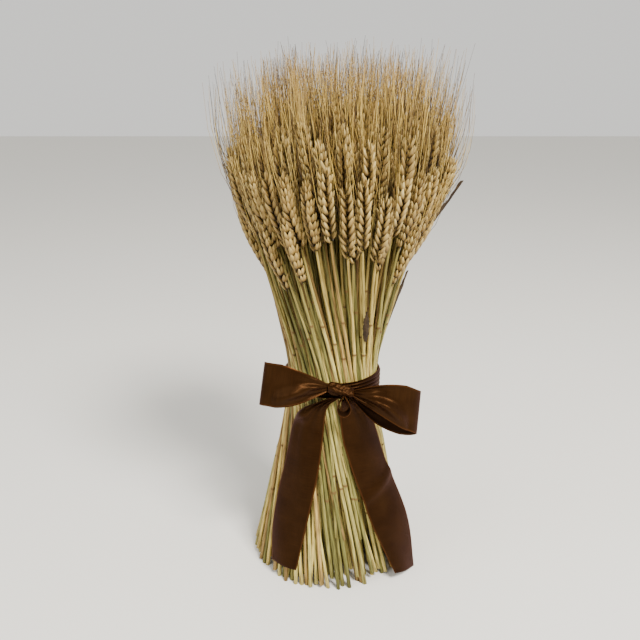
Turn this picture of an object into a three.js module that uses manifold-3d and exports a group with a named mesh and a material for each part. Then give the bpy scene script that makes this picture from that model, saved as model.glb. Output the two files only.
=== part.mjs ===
// A free-standing sheaf of dried bearded wheat, tied at its waist with a satin ribbon bow.
// Millimetres, +Z up. It stands on the cut ends of its straws at Z = 0, and the bow faces -Y.
// Every stalk follows one flow: in at the waist, out at the feet and the heads, with a slow twist.
// Each bunch of stalks keeps to its own wedge of that flow, so no bunch crosses another.

import * as THREE from 'three';
import { mergeVertices } from 'three/addons/utils/BufferGeometryUtils.js';
import Module from 'manifold-3d';

const wasm = await Module();
wasm.setup();

// Driving sizes of the whole sheaf
const OVERALL_HEIGHT = 460;
const FOOT_RADIUS = 73;
const WAIST_RADIUS = 39.8;
const WAIST_LOW = 162;
const WAIST_HIGH = 188;
const FOOT_FLARE_POWER = 1.05;
const HEAD_FLARE = 0.1406;
const HEAD_FLARE_POWER = 1.125;
const TWIST = THREE.MathUtils.degToRad(45);
const TWIST_CENTRE = 175;
const TWIST_SPAN = 150;
const LEAN = 0.0135;
const BOX_CENTRE = new THREE.Vector3(8, 0.5, 0);

// Straws, four-sided with a corner facing out
const STRAW_FOOT = 2.0;
const STRAW_WAIST = 1.6;
const STRAW_NECK = 1.2;
const STRAW_RING = WAIST_RADIUS - STRAW_WAIST;
const NECK_LENGTH = 4;
const SHORTEST_CUT = 9;

// Bunches round the outside, each of five stalks side by side at the waist
const BUNCHES = 18;
const BUNCH_STALKS = 5;
const NODE_GAP = 0.35;
const WEDGE = (2 * Math.PI) / BUNCHES;
const HEAD_SHARES = [1, 0.42, 0.74, 0.12, 1];
const FOOT_SHARES = [1, 0.62, 0.98, 0.34, 0.9];
const HEAD_BASES = [302, 336, 320, 350, 308];
const HEAD_BASE_JITTER = 9;
const INNER_HEAD_SPREAD = 0.4;

// Heart of the sheaf
const HEART_RINGS = [[0, 0, 1, 356], [9, 0.14, 5, 352], [17, 0.34, 9, 346]];
const HEART_AWN_LIMITS = [4, 34];
const BUNCH_AWN_LIMIT = 37.5;
const PLUG_RADIUS = 36.1;
const PLUG_LOW = 150;
const PLUG_HIGH = 204;
const PLUG_BITE = 3;
const PLUG_SIDES = 24;
const FILLER_RINGS = [[0, 0, 1], [16, 20, 7], [33, 42, 18]];

// Wheat heads and awns
const HEAD_LENGTH = 64;
const HEAD_ROWS = 5;
const HEAD_HALF_WIDTH = 5.6;
const HEAD_HALF_DEPTH = 4.1;
const HEAD_STEPS_OUT = [1, 1, 0.58, 0.8];
const HEAD_STEPS_IN = [0.58, 0.8, 1, 1];
const HEAD_SWELL = [0.13, 0.93];
const HEAD_SWELL_POWER = 0.7;
const HEAD_SPIN = THREE.MathUtils.degToRad(38);
const AWNS = 4;
const AWN_RADIUS = 0.55;
const AWN_ROOTS = [0.4, 0.93];
const AWN_ROOT_SIDE = 1.2;
const AWN_RISE = [42, 66];
const AWN_UNEVEN_TOP = 22;
const AWN_SLOPE = 0.12;
const AWN_FAN = [3.5, 12];
const AWN_RADIAL_FAN = 7;

// Satin ribbon, one and a half inches wide
const RIBBON_WIDTH = 38;
const RIBBON_THICKNESS = 0.9;
const BAND_INNER = 40.25;
const BAND_TOP = 185.5;
const BAND_BOTTOM_FRONT = 171.5;
const BAND_BOTTOM_SIDE = 165;
const BAND_OPENS_BY = 2;
const BAND_STEPS = 40;
const KNOT_CENTRE = new THREE.Vector3(8.5, -47.4, 176);
const KNOT_HALF_LENGTH = 11;
const KNOT_HALF_HEIGHT = 7.6;
const KNOT_HALF_DEPTH = 5.9;
const KNOT_PROFILE = [[0, -1], [0.62, -1], [1, -0.45], [1, 0.45], [0.62, 1], [0, 1]];
const KNOT_SIDES = 12;
const LOOP_ROOT_WIDTH = 9;
const LOOP_ROOT_GAP = 1.25;
const LOOP_OPENS_BY = 1.25;
const LOOP_STEPS = 16;
const SMALL_LOOP_WIDTH = 7;
const SMALL_LOOP_SHIFT = -3.2;
const TAIL_LIFT = 1.75;

// Dried leaves left on the stalks
const LEAF_THICKNESS = 0.8;
const LEAF_GAP = 0.4;

const STRAW_FINISH = { color: 0xbdb078, roughness: 0.7, metalness: 0 };
const HEART_FINISH = { color: 0xa9965c, roughness: 0.8, metalness: 0 };
const RIBBON_FINISH = { color: 0x46280f, roughness: 0.35, metalness: 0 };
const LEAF_FINISH = { color: 0x6b5238, roughness: 0.9, metalness: 0 };

// A repeatable number from 0 to 1 for a stalk and a purpose.
function chance(stalkNumber, purpose) {
  const wave = Math.sin(stalkNumber * 12.9898 + purpose * 78.233) * 43758.5453;
  return wave - Math.floor(wave);
}

function between(low, high, share) {
  return low + (high - low) * share;
}

// Radius over the outermost straws at a height.
function sheafRadius(z) {
  if (z < WAIST_LOW) {
    const drop = (WAIST_LOW - z) / WAIST_LOW;
    return WAIST_RADIUS + (FOOT_RADIUS - WAIST_RADIUS) * drop ** FOOT_FLARE_POWER;
  }
  return WAIST_RADIUS + HEAD_FLARE * Math.max(0, z - WAIST_HIGH) ** HEAD_FLARE_POWER;
}

// The twist turns the sheaf clockwise with height, seen from above, fastest at the waist.
function twistAngle(z) {
  const rise = (z - TWIST_CENTRE) / TWIST_SPAN;
  return (-TWIST * rise) / Math.hypot(1, rise);
}

// A point of the straight, untwisted sheaf, from its radius, angle and height.
function polar(radius, angle, z) {
  return new THREE.Vector3(radius * Math.cos(angle), radius * Math.sin(angle), z);
}

// Twists and leans a point of the straight sheaf into its real place.
function settle(point) {
  const turn = twistAngle(point.z);
  const x = point.x * Math.cos(turn) - point.y * Math.sin(turn) + LEAN * point.z;
  const y = point.x * Math.sin(turn) + point.y * Math.cos(turn);
  return new THREE.Vector3(x, y, point.z);
}

// A closed skin over rings of points, each ring anticlockwise round the way of travel.
// An end is capped from edge to edge across the ring, so a thin, bent section stays whole.
// Both faces of a thin strip are cut along the same diagonals, so it keeps its thickness in a turn.
function loft(rings, { endless = false, thin = false } = {}) {
  const count = rings[0].length;
  const spans = endless ? rings.length : rings.length - 1;
  const index = [];
  for (let span = 0; span < spans; span += 1) {
    const here = span * count;
    const next = ((span + 1) % rings.length) * count;
    for (let side = 0; side < count; side += 1) {
      const turn = (side + 1) % count;
      if (thin && side >= count / 2) {
        index.push(here + side, here + turn, next + side);
        index.push(here + turn, next + turn, next + side);
      } else {
        index.push(here + side, here + turn, next + turn);
        index.push(here + side, next + turn, next + side);
      }
    }
  }
  const last = (rings.length - 1) * count;
  for (let side = 0; side < count / 2 - 1 && !endless; side += 1) {
    const far = count - 1 - side;
    index.push(side, far, side + 1, side + 1, far, far - 1);
    index.push(last + side, last + side + 1, last + far);
    index.push(last + side + 1, last + far - 1, last + far);
  }
  const geometry = new THREE.BufferGeometry();
  const points = rings.flat().flatMap((point) => point.toArray());
  geometry.setAttribute('position', new THREE.Float32BufferAttribute(points, 3));
  geometry.setIndex(index);
  return geometry;
}

// Joining of solids

// A turned shape's triangles shrink to nothing on its axis; those are left out.
function wholeTriangles(index) {
  const kept = [];
  for (let start = 0; start < index.length; start += 3) {
    const [a, b, c] = index.slice(start, start + 3);
    if (a !== b && b !== c && c !== a) {
      kept.push(a, b, c);
    }
  }
  return kept;
}

function solidOf(geometry) {
  geometry.deleteAttribute('normal');
  geometry.deleteAttribute('uv');
  const merged = mergeVertices(geometry, 1e-4);
  return new wasm.Manifold(new wasm.Mesh({
    numProp: 3,
    vertProperties: new Float32Array(merged.attributes.position.array),
    triVerts: new Uint32Array(wholeTriangles(merged.index.array)),
  }));
}

// Fuses solids into one body; a sealed hollow is filled and a loose scrap is dropped.
function fuse(geometries) {
  const joined = geometries.map(solidOf).reduce((sum, solid) => sum.add(solid));
  const bodies = joined.decompose().sort((a, b) => b.volume() - a.volume());
  const mesh = bodies[0].getMesh();
  const geometry = new THREE.BufferGeometry();
  geometry.setAttribute('position', new THREE.Float32BufferAttribute(mesh.vertProperties, 3));
  geometry.setIndex(Array.from(mesh.triVerts));
  return geometry;
}

function namedMesh(name, geometry, finish) {
  const mesh = new THREE.Mesh(geometry, new THREE.MeshStandardMaterial(finish));
  mesh.name = name;
  return mesh;
}

// Stalks: a straw with its head, and the awns that rise from the head

// Centre of a stalk at a height, in the straight sheaf.
function stalkPoint(stalk, z) {
  const outward = sheafRadius(z) - WAIST_RADIUS;
  if (z < WAIST_LOW) {
    const share = (WAIST_LOW - z) / WAIST_LOW;
    const angle = between(stalk.waistAngle, stalk.footAngle, share);
    return polar(stalk.waistRadius + stalk.footShare * outward, angle, z);
  }
  const share = THREE.MathUtils.clamp((z - WAIST_HIGH) / (stalk.headBase - WAIST_HIGH), 0, 1);
  const angle = between(stalk.waistAngle, stalk.headAngle, share);
  return polar(stalk.waistRadius + stalk.headShare * outward, angle, z);
}

// Four corners round a centre, the first along side, anticlockwise seen from above.
function diamond(centre, side, front, radii) {
  return [
    centre.clone().addScaledVector(side, radii[0]),
    centre.clone().addScaledVector(front, radii[1]),
    centre.clone().addScaledVector(side, -radii[2]),
    centre.clone().addScaledVector(front, -radii[3]),
  ];
}

function strawRing(stalk, z, radius) {
  const centre = stalkPoint(stalk, z);
  const angle = Math.atan2(centre.y, centre.x);
  const side = polar(1, angle + Math.PI / 2, 0);
  const inward = polar(1, angle + Math.PI, 0);
  return diamond(centre, side, inward, [radius, radius, radius, radius]);
}

// The head's own frame: its foot, its axis along the flow, and its wide and narrow directions.
function headFrame(stalk) {
  const foot = stalkPoint(stalk, stalk.headBase);
  const below = stalkPoint(stalk, stalk.headBase - HEAD_LENGTH / 3);
  const axis = foot.clone().sub(below).normalize();
  const angle = stalk.headAngle + stalk.spin;
  const side = polar(1, angle + Math.PI / 2, 0);
  side.addScaledVector(axis, -side.dot(axis)).normalize();
  const inward = new THREE.Vector3().crossVectors(axis, side);
  return { foot, axis, side, inward };
}

// Spikelets in two rows that take turns: where one side stands out, the other steps in.
function headRings(stalk) {
  const { foot, axis, side, inward } = headFrame(stalk);
  const rings = [];
  for (let row = 0; row <= HEAD_ROWS; row += 1) {
    const share = row / HEAD_ROWS;
    const swell = Math.sin(Math.PI * between(...HEAD_SWELL, share)) ** HEAD_SWELL_POWER;
    const width = HEAD_HALF_WIDTH * swell;
    const depth = HEAD_HALF_DEPTH * swell;
    const steps = row % 2 ? HEAD_STEPS_OUT : HEAD_STEPS_IN;
    const radii = steps.map((step, corner) => step * (corner % 2 ? depth : width));
    const centre = foot.clone().addScaledVector(axis, HEAD_LENGTH * share);
    rings.push(diamond(centre, side, inward, radii));
  }
  return rings;
}

function stalkBody(stalk) {
  const rings = [
    strawRing(stalk, stalk.footZ, STRAW_FOOT),
    strawRing(stalk, WAIST_LOW, STRAW_WAIST),
    strawRing(stalk, WAIST_HIGH, STRAW_WAIST),
    strawRing(stalk, stalk.headBase - NECK_LENGTH, STRAW_NECK),
    ...headRings(stalk),
  ];
  return loft(rings);
}

// An awn is a fine needle whose root is sunk in a spikelet; its tip stays in the stalk's wedge.
function awnNeedle(stalk, number) {
  const { foot, axis, side, inward } = headFrame(stalk);
  const hand = number % 2 ? -1 : 1;
  const seed = 10 * (number + 1);
  const rootShare = between(...AWN_ROOTS, (number + 0.5) / AWNS);
  const root = foot.clone().addScaledVector(axis, HEAD_LENGTH * rootShare);
  root.addScaledVector(side, hand * AWN_ROOT_SIDE * (AWN_ROOTS[1] - rootShare));
  root.addScaledVector(inward, chance(stalk.number, seed) - 0.5);
  const top = foot.clone().addScaledVector(axis, HEAD_LENGTH);
  const rise = between(...AWN_RISE, chance(stalk.number, seed + 1));
  const ceiling = OVERALL_HEIGHT - AWN_UNEVEN_TOP * chance(stalk.number, seed + 4);
  const tipZ = Math.min(ceiling, top.z + rise);
  const radial = between(-AWN_RADIAL_FAN, AWN_RADIAL_FAN, chance(stalk.number, seed + 2));
  const tipReach = Math.hypot(top.x, top.y) + AWN_SLOPE * (tipZ - top.z) + radial;
  const tipRadius = THREE.MathUtils.clamp(tipReach, stalk.awnLow, stalk.awnHigh);
  const fan = hand * between(...AWN_FAN, chance(stalk.number, seed + 3));
  const free = stalk.halfWedge - (AWN_RADIUS + NODE_GAP) / tipRadius;
  const spread = stalk.headAngle + fan / tipRadius - stalk.wedgeAngle;
  const tipAngle = stalk.wedgeAngle + THREE.MathUtils.clamp(spread, -free, free);
  const tip = polar(tipRadius, tipAngle, tipZ);
  const reach = tip.clone().sub(root);
  const needle = new THREE.ConeGeometry(AWN_RADIUS, reach.length(), 3, 1);
  needle.translate(0, reach.length() / 2, 0);
  const turn = new THREE.Quaternion().setFromUnitVectors(new THREE.Vector3(0, 1, 0), reach.normalize());
  needle.applyQuaternion(turn);
  needle.translate(root.x, root.y, root.z);
  return needle;
}

function settled(geometry) {
  const places = geometry.attributes.position;
  const point = new THREE.Vector3();
  for (let corner = 0; corner < places.count; corner += 1) {
    point.copy(settle(point.fromBufferAttribute(places, corner)));
    places.setXYZ(corner, point.x, point.y, point.z);
  }
  return geometry;
}

function stalkPieces(stalk) {
  const pieces = [settled(stalkBody(stalk))];
  for (let number = 0; number < AWNS; number += 1) {
    pieces.push(settled(awnNeedle(stalk, number)));
  }
  return pieces;
}

// Bunches: five stalks lie side by side at the waist and part towards feet and heads

function bunchStalk(bunch, slot) {
  const number = bunch * BUNCH_STALKS + slot;
  const wedgeAngle = (bunch + 0.5) * WEDGE;
  const halfWedge = WEDGE / 2;
  const waistStep = (WEDGE - (2 * STRAW_WAIST + NODE_GAP) / STRAW_RING) / (BUNCH_STALKS - 1);
  const offset = slot - (BUNCH_STALKS - 1) / 2;
  const headShare = HEAD_SHARES[slot];
  const headBase = HEAD_BASES[slot] + HEAD_BASE_JITTER * (2 * chance(number, 1) - 1);
  const headRadius = STRAW_RING + headShare * (sheafRadius(headBase) - WAIST_RADIUS);
  const headFree = halfWedge - (HEAD_HALF_WIDTH + NODE_GAP) / headRadius;
  const headSpread = (offset / 2) * (headShare < 1 ? INNER_HEAD_SPREAD : 1) * headFree;
  const footShare = FOOT_SHARES[slot];
  const footRadius = STRAW_RING + footShare * (FOOT_RADIUS - WAIST_RADIUS);
  const footFree = halfWedge - (STRAW_FOOT + NODE_GAP) / footRadius;
  return {
    number,
    wedgeAngle,
    halfWedge,
    waistRadius: STRAW_RING,
    waistAngle: wedgeAngle + offset * waistStep,
    headShare,
    headBase,
    headAngle: wedgeAngle + THREE.MathUtils.clamp(headSpread, -headFree, headFree),
    spin: HEAD_SPIN * (2 * chance(number, 3) - 1),
    footShare,
    footAngle: wedgeAngle + (offset / 2) * footFree,
    footZ: slot % 2 ? 0 : Math.max(0, SHORTEST_CUT * (chance(number, 4) * 2 - 1)),
    awnLow: BUNCH_AWN_LIMIT,
    awnHigh: Infinity,
  };
}

function bunchMesh(bunch) {
  const pieces = [];
  for (let slot = 0; slot < BUNCH_STALKS; slot += 1) {
    pieces.push(...stalkPieces(bunchStalk(bunch, slot)));
  }
  const name = `wheat_bunch_${String(bunch + 1).padStart(2, '0')}`;
  return namedMesh(name, fuse(pieces), STRAW_FINISH);
}

// Heart: a fluted core of packed straw at the waist, straws down to the feet, heads on top

function heartStalks() {
  const stalks = [];
  for (const [waistRadius, headShare, count, headBase] of HEART_RINGS) {
    for (let place = 0; place < count; place += 1) {
      const number = BUNCHES * BUNCH_STALKS + stalks.length;
      const angle = (2 * Math.PI * place) / count;
      stalks.push({
        number,
        wedgeAngle: angle,
        halfWedge: Math.PI,
        waistRadius,
        waistAngle: angle,
        headShare,
        headBase: headBase + HEAD_BASE_JITTER * (2 * chance(number, 1) - 1),
        headAngle: angle,
        spin: HEAD_SPIN * (2 * chance(number, 3) - 1),
        awnLow: HEART_AWN_LIMITS[0],
        awnHigh: HEART_AWN_LIMITS[1],
      });
    }
  }
  return stalks;
}

// Filler straws run from the core to the ground in rings inside the bunches' feet.
function fillerStraws() {
  const straws = [];
  for (const [waistRadius, footRadius, count] of FILLER_RINGS) {
    for (let place = 0; place < count; place += 1) {
      const angle = (2 * Math.PI * (place + 0.5 * (count % 2))) / count;
      const filler = {
        waistRadius,
        waistAngle: angle,
        footShare: (footRadius - waistRadius) / (FOOT_RADIUS - WAIST_RADIUS),
        footAngle: angle,
      };
      straws.push(settled(loft([
        strawRing(filler, 0, STRAW_FOOT),
        strawRing(filler, PLUG_LOW + PLUG_BITE, STRAW_WAIST),
      ])));
    }
  }
  return straws;
}

function corePlug() {
  const profile = [[0, PLUG_LOW], [PLUG_RADIUS, PLUG_LOW], [PLUG_RADIUS, PLUG_HIGH], [0, PLUG_HIGH]];
  const outline = profile.map(([radius, height]) => new THREE.Vector2(radius, height));
  const plug = new THREE.LatheGeometry(outline, PLUG_SIDES);
  plug.rotateX(Math.PI / 2);
  return settled(plug);
}

function heartMesh() {
  const pieces = [corePlug(), ...fillerStraws()];
  for (const stalk of heartStalks()) {
    pieces.push(settled(loft([
      strawRing(stalk, PLUG_HIGH - PLUG_BITE, STRAW_WAIST),
      strawRing(stalk, stalk.headBase - NECK_LENGTH, STRAW_NECK),
      ...headRings(stalk),
    ])));
    for (let number = 0; number < AWNS; number += 1) {
      pieces.push(settled(awnNeedle(stalk, number)));
    }
  }
  return namedMesh('wheat_heart', fuse(pieces), HEART_FINISH);
}

// Ribbon: every piece is a strip with a width, a thickness and a path

// Axis of the leaning sheaf at a height.
function sheafAxis(z) {
  return new THREE.Vector3(LEAN * z, 0, z);
}

// A point on the sheaf by the compass of the bow: 0 degrees faces -Y and angles run towards +X.
function bowPoint(degrees, radius, z) {
  const angle = THREE.MathUtils.degToRad(degrees - 90);
  return sheafAxis(z).add(polar(radius, angle, 0));
}

// The band is gathered at the knot and wider at the sides and back.
function bandMesh() {
  const rings = [];
  for (let step = 0; step < BAND_STEPS; step += 1) {
    const degrees = (360 * step) / BAND_STEPS;
    const open = Math.sin(THREE.MathUtils.degToRad(degrees) / 2) ** 2;
    const bottom = between(BAND_BOTTOM_FRONT, BAND_BOTTOM_SIDE, Math.min(1, BAND_OPENS_BY * open));
    rings.push([
      bowPoint(degrees, BAND_INNER, bottom),
      bowPoint(degrees, BAND_INNER, BAND_TOP),
      bowPoint(degrees, BAND_INNER + RIBBON_THICKNESS, BAND_TOP),
      bowPoint(degrees, BAND_INNER + RIBBON_THICKNESS, bottom),
    ]);
  }
  return namedMesh('ribbon_band', loft(rings, { endless: true }), RIBBON_FINISH);
}

// The knot is the short barrel of ribbon that wraps the bow's middle.
function knotMesh() {
  const outline = KNOT_PROFILE.map(([radius, along]) => new THREE.Vector2(radius, along));
  const barrel = new THREE.LatheGeometry(outline, KNOT_SIDES);
  barrel.rotateZ(Math.PI / 2);
  barrel.scale(KNOT_HALF_LENGTH, KNOT_HALF_DEPTH, KNOT_HALF_HEIGHT);
  const mesh = namedMesh('ribbon_knot', fuse([barrel]), RIBBON_FINISH);
  mesh.position.copy(KNOT_CENTRE);
  return mesh;
}

// A strip along a path: across is the direction of its width at each step.
function strip(centres, across, widths, thickness = RIBBON_THICKNESS) {
  const rings = centres.map((centre, step) => {
    const before = centres[Math.max(0, step - 1)];
    const after = centres[Math.min(centres.length - 1, step + 1)];
    const travel = after.clone().sub(before).normalize();
    const wide = across[step].clone();
    wide.addScaledVector(travel, -wide.dot(travel)).normalize();
    const face = new THREE.Vector3().crossVectors(travel, wide);
    const half = widths[step] / 2;
    return [[half, 1], [-half, 1], [-half, -1], [half, -1]].map(([reach, level]) => centre.clone()
      .addScaledVector(wide, reach)
      .addScaledVector(face, (level * thickness) / 2));
  });
  return loft(rings, { thin: true });
}

// A bow loop leaves the knot on its front layer, folds at its end and comes back behind.
function loopMesh(name, points, up, endWidth, rootWidth) {
  const path = new THREE.CatmullRomCurve3(points.map((point) => new THREE.Vector3(...point)));
  const centres = path.getSpacedPoints(LOOP_STEPS);
  const across = centres.map(() => new THREE.Vector3(...up));
  const widths = centres.map((centre, step) => {
    const out = Math.sin((Math.PI * step) / LOOP_STEPS);
    return between(rootWidth, endWidth, Math.min(1, LOOP_OPENS_BY * out));
  });
  return namedMesh(name, strip(centres, across, widths), RIBBON_FINISH);
}

function bowLoops() {
  const leftEnd = KNOT_CENTRE.x - KNOT_HALF_LENGTH - LOOP_ROOT_GAP;
  const rightEnd = KNOT_CENTRE.x + KNOT_HALF_LENGTH + LOOP_ROOT_GAP;
  const left = [
    [leftEnd, -49.8, 177],
    [-28, -57, 181],
    [-56, -52.5, 186.5],
    [-60, -48, 187.3],
    [-54, -44.6, 186.4],
    [-28, -44.2, 182],
    [leftEnd, -45.2, 177],
  ];
  const right = [
    [rightEnd, -45.2, 175],
    [46, -42.6, 169.5],
    [71, -41.5, 161.5],
    [76.5, -45.5, 159.7],
    [71, -50.5, 160.5],
    [44, -57, 166.5],
    [rightEnd, -49.8, 175],
  ];
  return [
    loopMesh('ribbon_loop_left', left, [-0.12, 0, 1], RIBBON_WIDTH, LOOP_ROOT_WIDTH),
    loopMesh('ribbon_loop_right', right, [0.12, 0, 1], RIBBON_WIDTH, LOOP_ROOT_WIDTH),
  ];
}

// A short loop of ribbon hangs in front of the knot's lower edge.
function smallLoopMesh() {
  const points = [
    [10.4, -50.6, 169.1],
    [7.2, -52.4, 160.6],
    [11, -53, 153.8],
    [14.8, -52.4, 160.6],
    [12.6, -50.6, 169.1],
  ];
  const path = new THREE.CatmullRomCurve3(points.map((point) => new THREE.Vector3(...point)));
  const centres = path.getSpacedPoints(LOOP_STEPS / 2);
  const across = centres.map(() => new THREE.Vector3(0, -1, 0));
  const widths = centres.map(() => SMALL_LOOP_WIDTH);
  const mesh = namedMesh('ribbon_small_loop', strip(centres, across, widths), RIBBON_FINISH);
  mesh.position.y = SMALL_LOOP_SHIFT;
  return mesh;
}

// A tail hangs on the straws: each station has a compass angle, a height, a lift and a width.
function tailMesh(name, stations) {
  const rings = stations.map(([degrees, z, lift, width]) => {
    const radius = sheafRadius(z) + TAIL_LIFT + lift;
    const half = THREE.MathUtils.radToDeg(width / 2 / radius);
    const outer = [half, 0, -half].map((turn) => bowPoint(degrees + turn, radius + RIBBON_THICKNESS, z));
    const inner = [-half, 0, half].map((turn) => bowPoint(degrees + turn, radius, z));
    return [...outer, ...inner];
  });
  return namedMesh(name, loft(rings, { thin: true }), RIBBON_FINISH);
}

function tails() {
  const left = [
    [2.4, 168, 5.4, 8],
    [-20, 158, 1.8, 25],
    [-29, 140, 0, RIBBON_WIDTH],
    [-33, 107, 0, RIBBON_WIDTH],
    [-36.5, 80, 0, RIBBON_WIDTH],
    [-37.5, 45, 0, RIBBON_WIDTH],
    [-37, 13, 0, RIBBON_WIDTH],
  ];
  const right = [
    [13.2, 168, 6.2, 8],
    [25, 157, 1.8, 27],
    [34, 130, 0, RIBBON_WIDTH],
    [40, 105, 0, RIBBON_WIDTH],
    [48, 80, 0, RIBBON_WIDTH],
    [54, 55, 1, RIBBON_WIDTH],
    [56, 30, 3, RIBBON_WIDTH],
    [57, 4, 6, RIBBON_WIDTH],
  ];
  return [tailMesh('ribbon_tail_left', left), tailMesh('ribbon_tail_right', right)];
}

// Leaves: thin dry blades that start close against the straw that bore them

function leafMesh(name, bunch, slot, stations) {
  const stalk = bunchStalk(bunch, slot);
  const centres = [];
  const across = [];
  const widths = [];
  for (const [z, lift, width] of stations) {
    const centre = stalkPoint(stalk, z);
    const angle = Math.atan2(centre.y, centre.x);
    const reach = STRAW_WAIST + LEAF_GAP + LEAF_THICKNESS / 2 + lift;
    centres.push(settle(centre.add(polar(reach, angle, 0))));
    across.push(polar(1, angle + twistAngle(z) + Math.PI / 2, 0));
    widths.push(width);
  }
  return namedMesh(name, strip(centres, across, widths, LEAF_THICKNESS), LEAF_FINISH);
}

function leaves() {
  return [
    leafMesh('dry_leaf_right', 1, 4, [[262, 0.05, 3], [290, 2, 5], [312, 9, 5], [336, 16, 4], [350, 19, 3]]),
    leafMesh('dry_leaf_side', 0, 4, [[205, 0.2, 4], [228, 1.5, 7], [250, 2.5, 8], [276, 4, 4]]),
    leafMesh('dry_leaf_front', 15, 4, [[222, 0.2, 4], [236, 1.2, 6], [252, 2.4, 3]]),
  ];
}

const sheaf = new THREE.Group();
for (let bunch = 0; bunch < BUNCHES; bunch += 1) {
  sheaf.add(bunchMesh(bunch));
}
sheaf.add(heartMesh());
sheaf.add(bandMesh(), knotMesh(), ...bowLoops(), smallLoopMesh(), ...tails());
sheaf.add(...leaves());
sheaf.position.copy(BOX_CENTRE).negate();

export default sheaf;
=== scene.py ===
"""A free-standing sheaf of dried bearded wheat, tied at its waist with a brown satin bow.

Shapes are worked out in millimetres, and mesh_of turns them into metres.
"""

import bpy
import numpy as np
from numpy import (
    arange, array, clip, concatenate, cos, exp, linspace, maximum, minimum, pi, radians, sin,
    stack)
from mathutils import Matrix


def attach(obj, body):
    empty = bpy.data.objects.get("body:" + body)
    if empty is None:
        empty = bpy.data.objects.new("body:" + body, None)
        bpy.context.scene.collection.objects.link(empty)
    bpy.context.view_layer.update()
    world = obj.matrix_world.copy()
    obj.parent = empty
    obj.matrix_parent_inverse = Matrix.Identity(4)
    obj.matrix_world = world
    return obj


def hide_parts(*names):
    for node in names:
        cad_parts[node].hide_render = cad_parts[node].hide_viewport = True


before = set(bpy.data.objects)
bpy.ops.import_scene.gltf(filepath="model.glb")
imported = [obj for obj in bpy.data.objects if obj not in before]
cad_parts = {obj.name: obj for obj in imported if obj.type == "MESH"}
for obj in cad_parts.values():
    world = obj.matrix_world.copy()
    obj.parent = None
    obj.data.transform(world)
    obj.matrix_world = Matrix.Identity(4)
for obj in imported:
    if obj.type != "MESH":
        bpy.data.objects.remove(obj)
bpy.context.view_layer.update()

# Camera: the photograph looks down on the sheaf by 18 degrees, from a little left of it,
# through a lens that is 720 pixels long in a picture of 640 pixels.
CAMERA_PLACE = (-0.0169, -0.6065, 0.425)
CAMERA_DOWN = radians(18)
CAMERA_REACH = 50
SENSOR_WIDTH = 36
LENS = SENSOR_WIDTH * 720 / 640


def placed(name, data):
    """A new object of that name in the scene."""
    thing = bpy.data.objects.new(name, data)
    bpy.context.scene.collection.objects.link(thing)
    return thing


camera = placed("camera", bpy.data.cameras.new("camera"))
camera.data.sensor_width = SENSOR_WIDTH
camera.data.lens = LENS
camera.data.clip_end = CAMERA_REACH
camera.location = CAMERA_PLACE
camera.rotation_euler = (pi / 2 - CAMERA_DOWN, 0, 0)
bpy.context.scene.camera = camera

# Floor and light: a plain pale floor in a pale surround, a broad soft lamp high on the right
# and a weaker one on the left.
FLOOR_REACH = 6.0
FLOOR_COLOUR = (0.74, 0.72, 0.67, 1)
FLOOR_ROUGHNESS = 0.6
SURROUND_COLOUR = (0.80, 0.79, 0.76, 1)
SURROUND_STRENGTH = 1.2
LAMP_AIM = (0, 0, 0.25)

floor_mesh = bpy.data.meshes.new("floor")
floor_corners = [(x, y, 0) for x, y in FLOOR_REACH * array([(-1, -1), (1, -1), (1, 1), (-1, 1)])]
floor_mesh.from_pydata(floor_corners, [], [(0, 1, 2, 3)])
floor = placed("floor", floor_mesh)
floor_paint = bpy.data.materials.new("pale_floor")
floor_paint.use_nodes = True
floor_shader = floor_paint.node_tree.nodes["Principled BSDF"]
floor_shader.inputs["Base Color"].default_value = FLOOR_COLOUR
floor_shader.inputs["Roughness"].default_value = FLOOR_ROUGHNESS
floor_mesh.materials.append(floor_paint)

surround = bpy.data.worlds.new("surround")
surround.use_nodes = True
background = surround.node_tree.nodes["Background"].inputs
background["Color"].default_value = SURROUND_COLOUR
background["Strength"].default_value = SURROUND_STRENGTH
bpy.context.scene.world = surround


def soft_lamp(name, place, size, watts, colour):
    """A square area lamp at place, pointed at the middle of the sheaf."""
    lamp = placed(name, bpy.data.lights.new(name, "AREA"))
    lamp.data.size = size
    lamp.data.energy = watts
    lamp.data.color = colour
    lamp.location = place
    way = array(LAMP_AIM) - array(place)
    level = np.hypot(way[0], way[1])
    lamp.rotation_euler = (pi / 2 + np.arctan2(way[2], level), 0, np.arctan2(-way[0], way[1]))


soft_lamp("key_lamp", (0.72, -1.15, 1.75), size=0.6, watts=104, colour=(1.0, 0.97, 0.92))
soft_lamp("fill_lamp", (-1.4, -0.8, 1.1), size=1.2, watts=14, colour=(0.95, 0.97, 1.0))


# Wheat bunches: about two hundred dried stalks, each a hollow straw with one bearded ear.
# They are laid side by side at the waist and follow one flow, out at the feet and the ears, with
# a slow twist; the stalks of the frame's solids are among them, each at its own place.
BOX_CENTRE = array([8.0, 0.5, 0.0])
OVERALL_HEIGHT = 460.0
FOOT_RADIUS, WAIST_RADIUS = 73.0, 39.8
WAIST_LOW, WAIST_HIGH = 162.0, 188.0
FOOT_FLARE_POWER = 1.05
HEAD_FLARE, HEAD_FLARE_POWER = 0.1406, 1.125
TWIST = radians(45)
TWIST_CENTRE, TWIST_SPAN = 175.0, 150.0
LEAN = 0.0135
EAR_LEAN, EAR_LEAN_FROM, EAR_LEAN_SPAN = 5.0, 245.0, 120.0
STRAW_FOOT, STRAW_WAIST, STRAW_NECK = 1.9, 1.6, 1.1
STRAW_RING = WAIST_RADIUS - STRAW_WAIST
NODE_GAP = 0.35
BUNCHES, BUNCH_STALKS = 18, 5
WEDGE = 2 * pi / BUNCHES
HEAD_SHARES = array([1, 0.42, 0.74, 0.12, 1])
FOOT_SHARES = array([1, 0.62, 0.98, 0.34, 0.9])
HEAD_BASES = array([302, 336, 320, 350, 308])
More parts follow.
